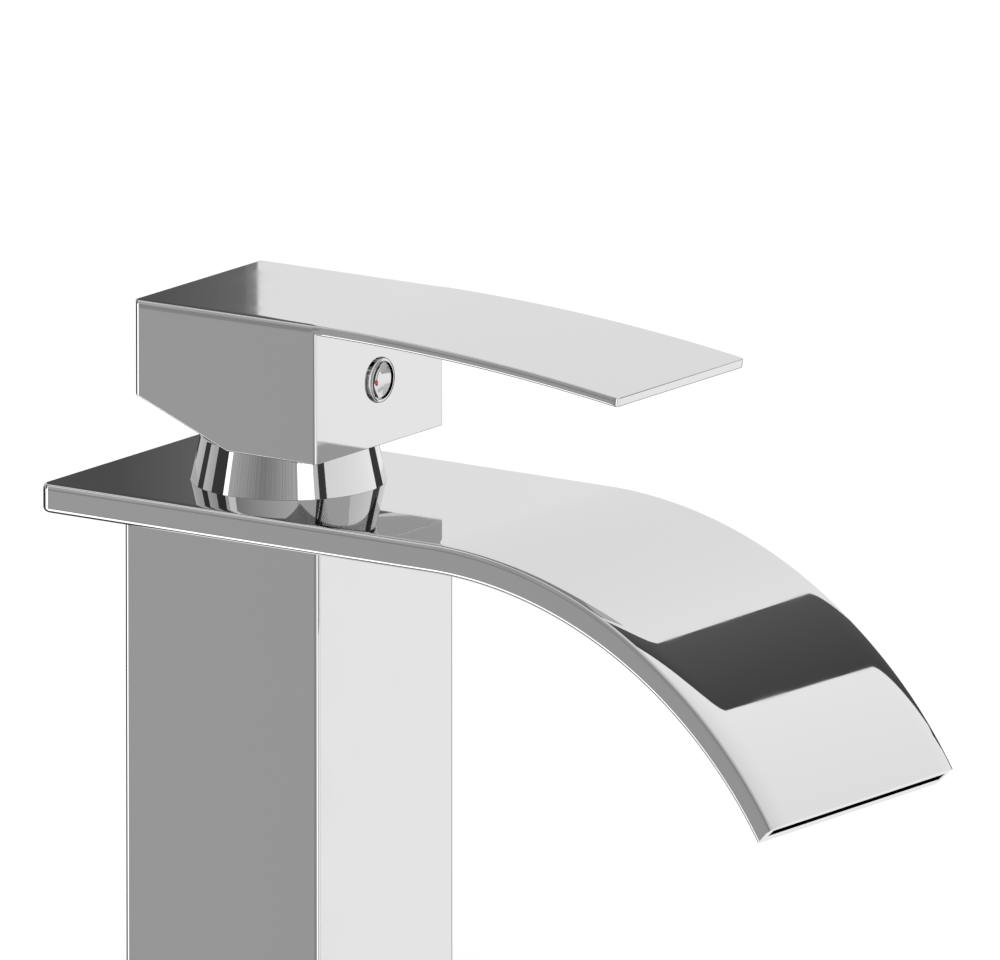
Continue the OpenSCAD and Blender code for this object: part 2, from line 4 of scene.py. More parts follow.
import bmesh
import bpy
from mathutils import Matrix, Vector


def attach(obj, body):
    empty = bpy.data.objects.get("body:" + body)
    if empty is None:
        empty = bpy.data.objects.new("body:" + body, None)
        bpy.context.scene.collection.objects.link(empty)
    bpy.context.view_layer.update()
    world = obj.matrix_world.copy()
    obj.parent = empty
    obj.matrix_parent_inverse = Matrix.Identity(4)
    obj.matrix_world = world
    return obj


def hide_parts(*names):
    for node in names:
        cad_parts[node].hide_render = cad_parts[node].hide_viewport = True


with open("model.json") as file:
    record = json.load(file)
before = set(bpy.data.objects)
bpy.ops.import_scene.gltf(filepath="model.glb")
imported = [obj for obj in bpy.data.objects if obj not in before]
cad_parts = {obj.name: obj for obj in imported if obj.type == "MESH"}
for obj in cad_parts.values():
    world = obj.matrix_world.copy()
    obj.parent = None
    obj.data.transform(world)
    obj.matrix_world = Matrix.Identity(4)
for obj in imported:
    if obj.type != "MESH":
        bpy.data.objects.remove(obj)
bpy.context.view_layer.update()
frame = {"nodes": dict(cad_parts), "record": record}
mm = 0.001
past = 1                      # mm that a cutter runs past the face it cuts
touching = 1e-6               # m below which two points are one
slack = 0.01                  # mm by which a point may miss the place it is tested for
sharpFrom = 20                # degrees; edges that turn less are never rounded
smoothBelow = 40              # degrees; edges that turn less are shaded smooth


def linearColour(hexText):
    # "#rrggbb" as seen on a screen, turned to the linear values that shaders use
    channels = [int(hexText[i:i + 2], 16) / 255 for i in (1, 3, 5)]
    return tuple(c / 12.92 if c <= 0.04045 else ((c + 0.055) / 1.055) ** 2.4 for c in channels) + (1.0,)


def addNode(tree, kind, settings=None, values=None, links=None):
    node = tree.nodes.new(kind)
    for key, value in (settings or {}).items():
        setattr(node, key, value)
    for key, value in (values or {}).items():
        node.inputs[key].default_value = value
    for key, source in (links or {}).items():
        tree.links.new(source, node.inputs[key])
    return node


def newMaterial(name):
    # returns the material, its tree, its shader and the Object coordinates
    material = bpy.data.materials.new(name)
    material.use_nodes = True
    tree = material.node_tree
    shader = tree.nodes["Principled BSDF"]
    place = addNode(tree, "ShaderNodeTexCoord").outputs["Object"]
    return material, tree, shader, place


def onlySelect(piece):
    if bpy.context.object and bpy.context.object.mode != "OBJECT":
        bpy.ops.object.mode_set(mode="OBJECT")
    bpy.ops.object.select_all(action="DESELECT")
    piece.select_set(True)
    bpy.context.view_layer.objects.active = piece


def startPiece(name, operator, **settings):
    # a primitive at its size and place, with the place applied to the mesh
    bpy.ops.object.select_all(action="DESELECT")
    operator(**settings)
    piece = bpy.context.object
    piece.name = piece.data.name = name
    bpy.ops.object.transform_apply(location=True, rotation=True, scale=True)
    return piece


def addBox(name, low, high):
    size = [(b - a) * mm for a, b in zip(low, high)]
    middle = [(a + b) / 2 * mm for a, b in zip(low, high)]
    return startPiece(name, bpy.ops.mesh.primitive_cube_add, size=1, location=middle, scale=size)


def addRod(name, radius, start, end, sides=96):
    start, end = Vector(start) * mm, Vector(end) * mm
    turn = (end - start).to_track_quat("Z", "Y").to_euler()
    return startPiece(name, bpy.ops.mesh.primitive_cylinder_add, vertices=sides, radius=radius * mm,
                      depth=(end - start).length, location=(start + end) / 2, rotation=turn)


def pick(piece, kind, test):
    # enters edit mode and selects the piece's faces or verts that pass the test
    onlySelect(piece)
    bpy.ops.object.mode_set(mode="EDIT")
    bpy.ops.mesh.select_mode(type={"faces": "FACE", "verts": "VERT"}[kind])
    bpy.ops.mesh.select_all(action="DESELECT")
    mesh = bmesh.from_edit_mesh(piece.data)
    for part in getattr(mesh, kind):
        if test(part):
            part.select_set(True)
    mesh.select_flush_mode()
    bmesh.update_edit_mesh(piece.data)


def leaveEdit():
    bpy.ops.object.mode_set(mode="OBJECT")


def turnOutwards(piece):
    # joins what touches, then points every face outwards
    onlySelect(piece)
    bpy.ops.object.mode_set(mode="EDIT")
    bpy.ops.mesh.select_mode(type="FACE")
    bpy.ops.mesh.select_all(action="SELECT")
    bpy.ops.mesh.remove_doubles(threshold=touching)
    bpy.ops.mesh.normals_make_consistent(inside=False)
    leaveEdit()


def applyModifier(piece, kind, **settings):
    onlySelect(piece)
    modifier = piece.modifiers.new(kind.lower(), kind)
    for key, value in settings.items():
        setattr(modifier, key, value)
    bpy.ops.object.modifier_apply(modifier=modifier.name)


def cutAway(piece, *cutters):
    for cutter in cutters:
        applyModifier(piece, "BOOLEAN", operation="DIFFERENCE", solver="EXACT", object=cutter)
        bpy.data.objects.remove(cutter)


def roundEdges(piece, rules, segments):
    # rules are pairs of a radius in mm and a test on an edge's two ends; the first that fits gives the radius
    widest = max(radius for radius, _ in rules)
    onlySelect(piece)
    bpy.ops.object.mode_set(mode="EDIT")
    mesh = bmesh.from_edit_mesh(piece.data)
    weight = mesh.edges.layers.float.get("bevel_weight_edge") or mesh.edges.layers.float.new("bevel_weight_edge")
    for edge in mesh.edges:
        ends = [v.co / mm for v in edge.verts]
        fitting = [radius for radius, test in rules if test(*ends)]
        isSharp = edge.calc_face_angle(0) > math.radians(sharpFrom)
        edge[weight] = fitting[0] / widest if fitting and isSharp else 0
    bmesh.update_edit_mesh(piece.data)
    leaveEdit()
    applyModifier(piece, "BEVEL", limit_method="WEIGHT", width=widest * mm, segments=segments, use_clamp_overlap=False)


wear = {
    "outer": 0.6,             # only what lies beyond this share of the half width is worn
    "arcShare": 0.73,         # share of a rounding's outer half that the edge's own arc takes
    "flare": 2.5,             # degrees that the side leans out below the arc
}


def wearEdges(piece, half, rear, corner, profileAt):
    # polishing wears the long upper edges: the inner half of each even rounding becomes a crown that starts gently
    # "reach" mm from the side and is tilted by "tilt" where it meets the edge's own small arc; the side below
    # the arc flares over "depth" mm
    for vertex in piece.data.vertices:
        spot = vertex.co / mm
        worn, drop, lean = profileAt(spot)
        if abs(spot.x) < half * wear["outer"] or not -0.01 < drop < worn["radius"] + 0.005:
            continue
        turned = math.acos(max(0, min(1, 1 - drop / worn["radius"])))
        share = turned / (math.pi / 4)      # 0 to 1 is the crown, 1 to 2 the arc and the flare
        slope, flare = (math.tan(math.radians(a)) for a in (worn["tilt"], wear["flare"]))
        crown, offset = (worn["reach"] - worn["arc"]) * slope / 3, worn["depth"] * flare / 2
        arc = min(1, max(0, share - 1) / wear["arcShare"]) * math.pi / 2
        below = max(0, (share - 1 - wear["arcShare"]) / (1 - wear["arcShare"]))
        if share < 1:
            inwards = worn["reach"] - (worn["reach"] - worn["arc"]) * share
            sink = crown * share ** 3
        else:
            inwards = (worn["arc"] - offset) * (1 - math.sin(arc)) + offset * (1 - below) ** 2
            sink = crown + worn["arc"] * (slope * math.sin(arc) + 1 - math.cos(arc)) + worn["depth"] * below
        weight = max(0, min(1, (rear - spot.y) / corner))      # fades out in the rear corner
        inwards = (inwards - worn["radius"] * (1 - math.sin(turned))) * weight
        sink = (sink - drop) * weight
        spot += Vector((-math.copysign(inwards, spot.x), math.sin(lean) * sink, -math.cos(lean) * sink))
        vertex.co = spot * mm


def turnProfile(name, corners, rounded, steps, axis, roundSteps=4):
    # a closed outline of (radius, height) in mm, its chosen corners rounded, turned once round the axis
    def place(radius, height):
        return Vector((radius, 0, height) if axis == "Z" else (radius, height, 0)) * mm

    piece = startPiece(name, bpy.ops.mesh.primitive_circle_add, vertices=len(corners), radius=mm)
    for vertex, corner in zip(piece.data.vertices, corners):
        vertex.co = place(*corner)
    onlySelect(piece)
    bpy.ops.object.mode_set(mode="EDIT")
    for number, rounding in rounded.items():
        spot = place(*corners[number])
        pick(piece, "verts", lambda v: (v.co - spot).length < touching)
        bpy.ops.mesh.bevel(affect="VERTICES", offset=rounding * mm, segments=roundSteps)
    bpy.ops.mesh.select_all(action="SELECT")
    bpy.ops.mesh.spin(steps=steps, angle=math.tau, center=(0, 0, 0), axis=(0, 0, 1) if axis == "Z" else (0, 1, 0))
    bpy.ops.mesh.select_all(action="SELECT")
    bpy.ops.mesh.remove_doubles(threshold=touching)
    bpy.ops.mesh.delete_loose(use_verts=True, use_edges=True, use_faces=False)
    bpy.ops.mesh.select_all(action="SELECT")
    bpy.ops.mesh.normals_make_consistent(inside=False)
    leaveEdit()
    return piece


def finishPiece(piece, node, material):
    # shades roundings smooth beside flat faces that stay flat, and hands the piece over in place of its CAD node
    onlySelect(piece)
    bpy.ops.object.mode_set(mode="EDIT")
    bpy.ops.mesh.select_all(action="SELECT")
    bpy.ops.mesh.remove_doubles(threshold=touching)
    leaveEdit()
    bpy.ops.object.shade_smooth_by_angle(angle=math.radians(smoothBelow), keep_sharp_edges=False)
    applyModifier(piece, "WEIGHTED_NORMAL", mode="FACE_AREA", weight=100, keep_sharp=True)
    piece.data.materials.clear()
    piece.data.materials.append(material)
    body = next(b for b, names in frame["record"]["behaviour"]["bodies"].items() if node in names)
    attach(piece, body)
    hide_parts(node)
    print("made", piece.name, len(piece.data.polygons), "faces")


cameraPlace = {
    "azimuth": -55.07,        # degrees round from the front, to the left
    "elevation": 12.87,       # degrees above the deck
    "distance": 8.0,          # m, long enough that the lines look parallel, as in the photograph
    "target": (0.00014, -0.05294, 0.14459),
    "frameWidth": 0.205,      # m across the picture at the target
    "sensor": 36,             # mm
}

turn, rise = (math.radians(cameraPlace[k]) for k in ("azimuth", "elevation"))
back = Vector((math.sin(turn) * math.cos(rise), -math.cos(turn) * math.cos(rise), math.sin(rise)))
camera = bpy.data.objects.new("camera", bpy.data.cameras.new("camera"))
bpy.context.scene.collection.objects.link(camera)
camera.location = Vector(cameraPlace["target"]) + back * cameraPlace["distance"]
camera.rotation_euler = back.to_track_quat("Z", "Y").to_euler()
camera.data.sensor_width = cameraPlace["sensor"]
camera.data.lens = cameraPlace["sensor"] * cameraPlace["distance"] / cameraPlace["frameWidth"]
bpy.context.scene.camera = camera
print("camera at", [round(c, 3) for c in camera.location])

# Bright chrome plate, electroplated over polished metal: a neutral mirror, with the faint long
# waves that the polishing wheel leaves in the metal under it.
chromeLook = {
    "colour": "#c8c8c8",
    "roughness": (0.02, 0.05),
    "hazePitch": 14,          # mm between hazier patches
    "wavePitch": 24,          # mm between polishing waves across a face
    "waveStretch": 0.22,      # waves along Z for each one across: below 1 they are longer upwards
    "waveHeight": 0.004,      # mm
}


def brightChrome(name, look):
    material, tree, shader, place = newMaterial(name)
    haze = addNode(tree, "ShaderNodeTexNoise", values={"Scale": 1 / (look["hazePitch"] * mm), "Detail": 3.0},
                   links={"Vector": place})
    gloss = addNode(tree, "ShaderNodeMapRange", values={"From Min": 0.35, "From Max": 0.7,
                    "To Min": look["roughness"][0], "To Max": look["roughness"][1]},
                    links={"Value": haze.outputs[0]})
    stretched = addNode(tree, "ShaderNodeMapping", values={"Scale": (1, 1, look["waveStretch"])},
                        links={"Vector": place})
    waves = addNode(tree, "ShaderNodeTexNoise", values={"Scale": 1 / (look["wavePitch"] * mm), "Detail": 1.0},
                    links={"Vector": stretched.outputs[0]})
    bump = addNode(tree, "ShaderNodeBump", values={"Strength": 1.0, "Distance": look["waveHeight"] * mm},
                   links={"Height": waves.outputs[0]})
    shader.inputs["Base Color"].default_value = linearColour(look["colour"])
    shader.inputs["Metallic"].default_value = 1.0
    tree.links.new(gloss.outputs[0], shader.inputs["Roughness"])
    tree.links.new(bump.outputs[0], shader.inputs["Normal"])
    return material


chromedBrass = brightChrome("bright chrome on cast brass", chromeLook)
chromedZinc = brightChrome("bright chrome on die-cast zinc", dict(chromeLook, wavePitch=30, waveStretch=0.8))

# Speckled surfaces: one recipe with a real grain size, and its own colours and gloss for each finish.
grainLooks = {
    # Red stoving enamel, dipped: deep, glossy colour with a slight pull at its edge.
    "red_enamel": {"name": "dipped red enamel", "colours": ("#fb4650", "#ff666e"), "pitch": 0.8,
                   "roughness": (0.12, 0.2), "height": 0.002, "metallic": 0.0, "ior": 1.5},
    # Nitrile rubber, moulded: near black, matt, with a fine powdery bloom.
    "black_rubber": {"name": "moulded nitrile rubber", "colours": ("#141516", "#232425"), "pitch": 0.5,
                     "roughness": (0.55, 0.75), "height": 0.01, "metallic": 0.0, "ior": 1.52},
    # Acetal, injection moulded: waxy, close-grained, slightly uneven in gloss.
    "white_acetal": {"name": "moulded white acetal", "colours": ("#dcd8cb", "#e8e5da"), "pitch": 1.5,
                     "roughness": (0.28, 0.42), "height": 0.003, "metallic": 0.0, "ior": 1.48},
    "blue_acetal": {"name": "moulded blue acetal", "colours": ("#34618f", "#3f71a3"), "pitch": 1.5,
                    "roughness": (0.28, 0.42), "height": 0.003, "metallic": 0.0, "ior": 1.48},
    # Alumina ceramic, sintered and lapped: off-white, very smooth, with faint grey specks.
    "alumina": {"name": "lapped sintered alumina", "colours": ("#e2dfd4", "#f1efe6"), "pitch": 0.6,
                "roughness": (0.1, 0.2), "height": 0.0005, "metallic": 0.0, "ior": 1.76},
    # Alloy steel with black oxide: dark, oily sheen over a fine etched grain.
    "black_steel": {"name": "black oxide steel", "colours": ("#2a2b2e", "#3a3b3e"), "pitch": 0.3,
                    "roughness": (0.3, 0.45), "height": 0.002, "metallic": 1.0, "ior": 1.5},
}


def grainedFinish(look):
    material, tree, shader, place = newMaterial(look["name"])
    grain = addNode(tree, "ShaderNodeTexNoise", values={"Scale": 1 / (look["pitch"] * mm), "Detail": 4.0},
                    links={"Vector": place})
    colour = addNode(tree, "ShaderNodeMix", {"data_type": "RGBA"}, links={"Factor": grain.outputs[0]})
    colour.inputs[6].default_value, colour.inputs[7].default_value = map(linearColour, look["colours"])
    gloss = addNode(tree, "ShaderNodeMapRange", values={"From Min": 0.3, "From Max": 0.7,
                    "To Min": look["roughness"][0], "To Max": look["roughness"][1]},
                    links={"Value": grain.outputs[0]})
    bump = addNode(tree, "ShaderNodeBump", values={"Strength": 1.0, "Distance": look["height"] * mm},
                   links={"Height": grain.outputs[0]})
    shader.inputs["Metallic"].default_value = look["metallic"]
    if look["metallic"] == 0:
        shader.inputs["IOR"].default_value = look["ior"]
    tree.links.new(colour.outputs[2], shader.inputs["Base Color"])
    tree.links.new(gloss.outputs[0], shader.inputs["Roughness"])
    tree.links.new(bump.outputs[0], shader.inputs["Normal"])
    return material


# Turned metal: fine rings round the axis from the tool, drawn at a feed of 0.25 mm so that they show, over
# a cloudy colour with patches of about 3 mm.
turnedLooks = {
    "turned_brass": {"name": "turned free-cutting brass", "colours": ("#b08d4c", "#c9a663"), "feed": 0.25,
                     "cloud": 3, "roughness": (0.22, 0.34), "height": 0.003},
    "turned_steel": {"name": "turned stainless steel", "colours": ("#a9acae", "#bfc2c4"), "feed": 0.25,
                     "cloud": 3, "roughness": (0.22, 0.34), "height": 0.003},
}


def turnedFinish(look):
    material, tree, shader, place = newMaterial(look["name"])
    # at a scale of 1 the wave node has a band every tau / 20
    rings = addNode(tree, "ShaderNodeTexWave", {"wave_type": "BANDS", "bands_direction": "Z"},
                    {"Scale": math.tau / 20 / (look["feed"] * mm), "Distortion": 1.5, "Detail": 2.0}, {"Vector": place})
    cloud = addNode(tree, "ShaderNodeTexNoise", values={"Scale": 1 / (look["cloud"] * mm), "Detail": 3.0},
                    links={"Vector": place})
    colour = addNode(tree, "ShaderNodeMix", {"data_type": "RGBA"}, links={"Factor": cloud.outputs[0]})
    colour.inputs[6].default_value, colour.inputs[7].default_value = map(linearColour, look["colours"])
    gloss = addNode(tree, "ShaderNodeMapRange", values={"To Min": look["roughness"][0], "To Max": look["roughness"][1]},
                    links={"Value": rings.outputs["Fac"]})
    bump = addNode(tree, "ShaderNodeBump", values={"Strength": 1.0, "Distance": look["height"] * mm},
                   links={"Height": rings.outputs["Fac"]})
    shader.inputs["Metallic"].default_value = 1.0
    tree.links.new(colour.outputs[2], shader.inputs["Base Color"])
    tree.links.new(gloss.outputs[0], shader.inputs["Roughness"])
    tree.links.new(bump.outputs[0], shader.inputs["Normal"])
    return material


finishes = {"chromed_brass": chromedBrass, "chromed_zinc": chromedZinc}
finishes.update({slot: grainedFinish(look) for slot, look in grainLooks.items()})
finishes.update({slot: turnedFinish(look) for slot, look in turnedLooks.items()})
for part in frame["record"]["subparts"]:
    node = frame["nodes"][part["node"]]
    node.data.materials.clear()
    node.data.materials.append(finishes[part["material_slot"]])
print("materials", len(finishes))

column = {
    "side": 48.9, "height": 131.8, "edgeRadius": 1.0, "rearRadius": 1.3, "footRadius": 0.3,
    "roundSteps": 8, "waySides": 36, "threadSides": 48, "pegSides": 24,
    "boreRadius": 17.5, "seatZ": 116, "nutRadius": 18.55, "shoulderZ": 129,
    "pegRadius": 1.25, "pegRing": 11.6, "pegDepth": 2,
    "inletRadius": 4.5, "inletX": 7.5, "portY": -5.669, "inletDepth": 14,
    "supplyRadius": 3.2, "supplyTop": 104.5,
    "portRadius": 2.2, "portX": 4.757, "outletRadius": 2.8, "outletY": 1.2,
    "riserRadius": 3, "riserPlace": 19.05, "crossZ": 107.5,
    "studRadius": 4.05, "studY": 11, "studDepth": 14,
    "grooveRadii": (21.2, 19), "grooveDepth": 1.5,
}


def upright(name, radius, low, high, place=(0, 0), sides=96):
    return addRod(name, radius, (place[0], place[1], low), (place[0], place[1], high), sides)


def makeColumn(c):
    half = c["side"] / 2
    piece = addBox("column", (-half, -half, 0), (half, half, c["height"]))

    def isUpright(a, b):
        return abs(a.z - b.z) > 1

    roundEdges(piece, [
        (c["rearRadius"], lambda a, b: isUpright(a, b) and a.y > 0),
        (c["edgeRadius"], lambda a, b: isUpright(a, b) and a.y < 0),
        (c["footRadius"], lambda a, b: max(a.z, b.z) < slack)], c["roundSteps"])
    top, seat, ways, thread = c["height"] + past, c["seatZ"] + past, c["waySides"], c["threadSides"]
    groove = upright("cutter", c["grooveRadii"][0], -past, c["grooveDepth"])
    cutAway(groove, upright("core", c["grooveRadii"][1], -2 * past, c["grooveDepth"] + past))
    outlet = (0, c["outletY"])
    cutters = [upright("cutter", c["boreRadius"], c["seatZ"], top),
               upright("cutter", c["nutRadius"], c["shoulderZ"], top),
               upright("cutter", c["outletRadius"], c["crossZ"] - c["outletRadius"], seat, outlet, ways),
               upright("cutter", c["studRadius"], -past, c["studDepth"], (0, c["studY"]), thread), groove]
    for side in (-1, 1):
        port, inlet = (side * c["portX"], c["portY"]), (side * c["inletX"], c["portY"])
        peg, riser = (side * c["pegRing"], 0), (side * c["riserPlace"], c["riserPlace"])
        # the cross way from the outlet ends inside the riser
        across = (Vector(riser) - Vector(outlet)).normalized() * c["riserRadius"] / 2 + Vector(riser)
        cutters += [
            upright("cutter", c["pegRadius"], c["seatZ"] - c["pegDepth"], seat, peg, c["pegSides"]),
            upright("cutter", c["inletRadius"], -past, c["inletDepth"], inlet, thread),
            upright("cutter", c["supplyRadius"], c["inletDepth"] - past, c["supplyTop"], inlet, ways),
            upright("cutter", c["portRadius"], c["supplyTop"] - c["supplyRadius"], seat, port, ways),
            upright("cutter", c["riserRadius"], c["crossZ"], top, riser, ways),
            addRod("cutter", c["outletRadius"], (*outlet, c["crossZ"]), (*across, c["crossZ"]), ways)]
    cutAway(piece, *cutters)
    return piece


finishPiece(makeColumn(column), "body_column", chromedBrass)

spout = {
    "halfWidth": 32.7, "rear": 39.9, "flatFront": -57.6, "low": 131.8, "high": 138,
    "topRadius": 101, "underRadius": 96.1, "bend": 58.4, "steps": 72,
    "cornerSteps": 6, "edgeSteps": 14, "riserSides": 36,
    "cornerRadius": 2.4, "topRounding": 1.2, "underRounding": 1.2,
    "wornDepth": 1.5, "wornArc": 0.5, "wornTurn": (18, 38),   # the wear grows between two turns of the bend
    "wornLeft": {"reach": (2.6, 7.5), "tilt": (6, 16)}, "wornRight": {"reach": (1.8, 6), "tilt": (4, 7)},
    "roofWall": 1.45, "floorWall": 2.0, "sideWall": 1.8, "channelRear": 24.45, "pastLip": 3.52,
    "collarRadius": 21.5, "boreRadius": 18.55, "riserRadius": 3, "riserPlace": 19.05, "riserTop": 134.525,
}


def bendPlace(s, share, angle, top, under):
    # a point of the bend: share runs from the under side to the upper side
    outer = Vector((0, s["flatFront"] - top * math.sin(angle), s["high"] - s["topRadius"] + top * math.cos(angle)))
    inner = Vector((0, s["flatFront"] - under * math.sin(angle),
                    s["low"] - s["underRadius"] + under * math.cos(angle)))
    return inner.lerp(outer, share)


def bendFront(piece, s, low, high, top, under, degrees):
    # spins the front face down along the bend, then moves each ring onto the two arcs
    pick(piece, "faces", lambda f: f.normal.y < -0.99 and f.calc_center_median().y / mm < s["flatFront"] + slack)
    centre = Vector((0, s["flatFront"], s["high"] - s["topRadius"]))
    bpy.ops.mesh.spin(steps=s["steps"], angle=math.radians(degrees), center=centre * mm, axis=(-1, 0, 0))
    turnOutwards(piece)
    for vertex in piece.data.vertices:
        spot = vertex.co / mm
        if spot.y > s["flatFront"] + 0.001:
            continue
        angle = math.atan2(centre.y - spot.y, spot.z - centre.z)
        distance = math.hypot(spot.y - centre.y, spot.z - centre.z)
        share = (distance + centre.z - low) / (high - low)
        place = bendPlace(s, share, angle, top, under)
        vertex.co = (vertex.co.x, place.y * mm, place.z * mm)


def makeSpout(s):
    half = s["halfWidth"]
    piece = addBox("spout", (-half, s["flatFront"], s["low"]), (half, s["rear"], s["high"]))

    def atRearCorner(a, b):
        return min(a.y, b.y) > s["rear"] - slack and abs(a.z - b.z) > 1

    def behindBend(a, b):
        return max(a.y, b.y) > s["flatFront"] + slack

    roundEdges(piece, [(s["cornerRadius"], atRearCorner)], s["cornerSteps"])
    roundEdges(piece, [
        (s["topRounding"], lambda a, b: behindBend(a, b) and min(a.z, b.z) > s["high"] - slack),
        (s["underRounding"], lambda a, b: behindBend(a, b) and max(a.z, b.z) < s["low"] + slack)], s["edgeSteps"])
    bendFront(piece, s, s["low"], s["high"], s["topRadius"], s["underRadius"], s["bend"])

    def profileAt(spot):
        forward, up = s["flatFront"] - spot.y, spot.z - s["high"] + s["topRadius"]
        tilt = max(0, math.atan2(forward, up))
        share = (math.degrees(tilt) - s["wornTurn"][0]) / (s["wornTurn"][1] - s["wornTurn"][0])
        share = max(0, min(1, share))
        share = share ** 2 * (3 - 2 * share)      # a soft start and end
        side = s["wornLeft"] if spot.x < 0 else s["wornRight"]
        worn = {key: start + (end - start) * share for key, (start, end) in side.items()}
        worn.update(radius=s["topRounding"], arc=s["wornArc"], depth=s["wornDepth"])
        return worn, s["topRadius"] - math.hypot(max(0, forward), up), tilt

    wearEdges(piece, half, s["rear"], s["cornerRadius"], profileAt)
    channel = addBox("cutter", (-half + s["sideWall"], s["flatFront"], s["low"] + s["floorWall"]),
                     (half - s["sideWall"], s["channelRear"], s["high"] - s["roofWall"]))
    bendFront(channel, s, s["low"] + s["floorWall"], s["high"] - s["roofWall"],
              s["topRadius"] - s["roofWall"], s["underRadius"] + s["floorWall"], s["bend"] + s["pastLip"])
    cutAway(channel, upright("core", s["collarRadius"], s["low"], s["high"]))
    cutters = [channel, upright("cutter", s["boreRadius"], s["low"] - past, s["high"] + past)]
    for side in (-1, 1):
        place = (side * s["riserPlace"], s["riserPlace"])
        cutters.append(upright("cutter", s["riserRadius"], s["low"] - past, s["riserTop"], place, s["riserSides"]))
    cutAway(piece, *cutters)
    return piece


finishPiece(makeSpout(spout), "spout_shell", chromedBrass)

cover = {
    "footZ": 138, "footRadius": 20.27, "topRadius": 18.124, "height": 9.6, "holeRadius": 12.5,
    "innerFoot": 18.733, "innerTop": 16.922, "lidZ": 8.1,
    "footRounding": 0.05, "topRounding": 0.3, "holeRounding": 0.2, "steps": 160,
}


def makeCover(c):
    z = c["footZ"]
    corners = [(c["innerFoot"], z), (c["footRadius"], z), (c["topRadius"], z + c["height"]),
               (c["holeRadius"], z + c["height"]), (c["holeRadius"], z + c["lidZ"]), (c["innerTop"], z + c["lidZ"])]
    rounded = {1: c["footRounding"], 2: c["topRounding"], 3: c["holeRounding"]}      # by corner
    return turnProfile("cover", corners, rounded, c["steps"], "Z")


finishPiece(makeCover(cover), "cone_cover", chromedBrass)

handle = {
    "half": 22.9, "low": 148, "high": 177.3, "rise": 0.2,
    "slopeStart": -0.64, "slope": 21.4, "leverRoot": -21.65,
    "leverThickness": 2.1, "leverRadius": 542, "leverEnd": 8.119, "leverSteps": 40,
    "rearRounding": 1.4, "frontRounding": 0.7, "underRounding": 0.2, "slopeRounding": 0.6, "tipRounding": 0.9,
    "farRounding": 1.0, "lowerRounding": 0.6, "roundSteps": 8, "tipFrom": -90, "slopeTop": 158,
    "wornBlock": {"radius": 0.45, "reach": 2.2, "tilt": 5, "arc": 0.35, "depth": 1.3},
    "wornLever": {"radius": 0.3, "reach": 0.8, "tilt": 3, "arc": 0.25, "depth": 0.7},
    "hollow": ((-12.9, -12.9, 147), (12.9, 12, 154.4)), "socket": ((-4.1, -4.1, 153), (4.1, 4.1, 167)),
    "indexZ": 161.8, "indexRadius": 4.8, "indexBack": -18.9, "grubRadius": 2.55, "grubSides": 48,
}


